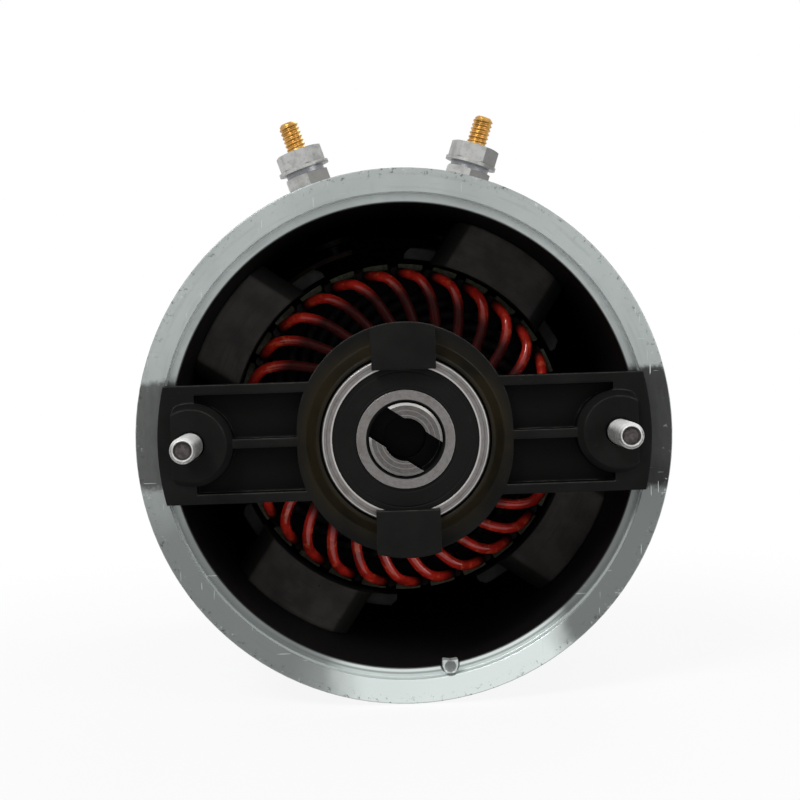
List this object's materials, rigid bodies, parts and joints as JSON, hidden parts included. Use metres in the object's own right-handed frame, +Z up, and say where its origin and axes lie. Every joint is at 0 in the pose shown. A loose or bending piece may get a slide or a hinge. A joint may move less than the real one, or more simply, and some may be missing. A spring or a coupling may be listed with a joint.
{
  "type": "open-frame direct current motor",
  "caption": "Cylindrical direct current motor with an open drive end: bearing bridge, slotted shaft, red armature winding, field coils and two terminal studs.",
  "frame": {"origin": "centre of the yoke's front mounting face, on the shaft axis", "axes": "-Y along the shaft out of the drive end, +Z up between the two terminals, +X to the right seen from the drive end"},
  "size_m": [0.127, 0.1875, 0.1529],
  "materials": {
    "yoke_zinc": "zinc plated, turned face",
    "bracket_black": "satin black coat on a casting",
    "cover_black": "satin black coat on a casting",
    "zinc": "bright zinc plate",
    "pole_iron": "dark varnish",
    "coil_wrap": "taped and dipped in black varnish",
    "copper": "bare copper",
    "brass": "rolled thread",
    "fibre": "moulded insulation",
    "bearing_steel": "ground",
    "ball_steel": "polished",
    "cage_steel": "pressed",
    "seal_rubber": "satin",
    "carbon": "pressed carbon and copper",
    "spring_steel": "drawn wire",
    "shaft_steel": "turned and ground",
    "core_steel": "varnished laminations",
    "end_fibre": "grey green fibre",
    "enamel_red": "glossy red enamel on copper wire",
    "band_resin": "glass band in resin",
    "commutator_copper": "turned copper",
    "commutator_resin": "moulded phenolic"
  },
  "bodies": {
    "frame": {"yoke_tube": "yoke_zinc", "front_bracket": "bracket_black", "rear_cover": "cover_black", "through_bolts": "zinc", "through_bolt_washers": "zinc", "pole_screws": "zinc", "coil_links": "copper", "terminal_stud_left": "brass", "terminal_stud_right": "brass", "terminal_insulators": "fibre", "terminal_base_washers": "zinc", "terminal_lower_nuts": "zinc", "terminal_flat_washers": "zinc", "terminal_spring_washers": "zinc", "terminal_upper_nuts": "zinc", "terminal_straps": "copper", "wave_washer": "spring_steel", "brush_plate": "fibre", "brush_plate_screws": "zinc", "brush_boxes": "brass", "brush_links": "copper", "brush_leads": "copper", "pole_shoe_1": "pole_iron", "field_coil_1": "coil_wrap", "brush_spring_1": "spring_steel", "pole_shoe_2": "pole_iron", "field_coil_2": "coil_wrap", "brush_spring_2": "spring_steel", "pole_shoe_3": "pole_iron", "field_coil_3": "coil_wrap", "brush_spring_3": "spring_steel", "pole_shoe_4": "pole_iron", "field_coil_4": "coil_wrap", "brush_spring_4": "spring_steel", "front_bearing_outer_ring": "bearing_steel", "front_bearing_seals": "seal_rubber", "rear_bearing_outer_ring": "bearing_steel", "rear_bearing_seals": "seal_rubber"},
    "rotor": {"shaft": "shaft_steel", "armature_core": "core_steel", "core_end_plates": "end_fibre", "armature_winding": "enamel_red", "winding_band": "band_resin", "commutator_bars": "commutator_copper", "commutator_hub": "commutator_resin", "shaft_spacer": "shaft_steel", "front_bearing_inner_ring": "bearing_steel", "rear_bearing_inner_ring": "bearing_steel"},
    "front_ball_set": {"front_bearing_balls": "ball_steel", "front_bearing_cage": "cage_steel"},
    "rear_ball_set": {"rear_bearing_balls": "ball_steel", "rear_bearing_cage": "cage_steel"},
    "brush_block_1": {"brush_1": "carbon"},
    "brush_block_2": {"brush_2": "carbon"},
    "brush_block_3": {"brush_3": "carbon"},
    "brush_block_4": {"brush_4": "carbon"}
  },
  "joints": [
    {"name": "rotor_spin", "type": "hinge", "parent": "frame", "child": "rotor", "pos_m": [0, 0, 0], "axis": [0, -1, 0], "continuous": true},
    {"name": "front_balls_roll", "type": "hinge", "parent": "frame", "child": "front_ball_set", "pos_m": [0, 0, 0], "axis": [0, -1, 0], "continuous": true},
    {"name": "rear_balls_roll", "type": "hinge", "parent": "frame", "child": "rear_ball_set", "pos_m": [0, 0, 0], "axis": [0, -1, 0], "continuous": true},
    {"name": "brush_1_slide", "type": "slide", "parent": "frame", "child": "brush_block_1", "axis": [0.5592, 0, 0.829], "range_m": [0, 0.004], "stiffness_N_per_m": 1000, "springref_m": -0.006, "deforming": ["brush_spring_1", "brush_leads"]},
    {"name": "brush_2_slide", "type": "slide", "parent": "frame", "child": "brush_block_2", "axis": [-0.829, 0, 0.5592], "range_m": [0, 0.004], "stiffness_N_per_m": 1000, "springref_m": -0.006, "deforming": ["brush_spring_2", "brush_leads"]},
    {"name": "brush_3_slide", "type": "slide", "parent": "frame", "child": "brush_block_3", "axis": [-0.5592, 0, -0.829], "range_m": [0, 0.004], "stiffness_N_per_m": 1000, "springref_m": -0.006, "deforming": ["brush_spring_3", "brush_leads"]},
    {"name": "brush_4_slide", "type": "slide", "parent": "frame", "child": "brush_block_4", "axis": [0.829, 0, -0.5592], "range_m": [0, 0.004], "stiffness_N_per_m": 1000, "springref_m": -0.006, "deforming": ["brush_spring_4", "brush_leads"]}
  ],
  "couplings": [
    {"joint": "front_balls_roll", "follows": "rotor_spin", "ratio": 0.38158},
    {"joint": "rear_balls_roll", "follows": "rotor_spin", "ratio": 0.36477}
  ]
}
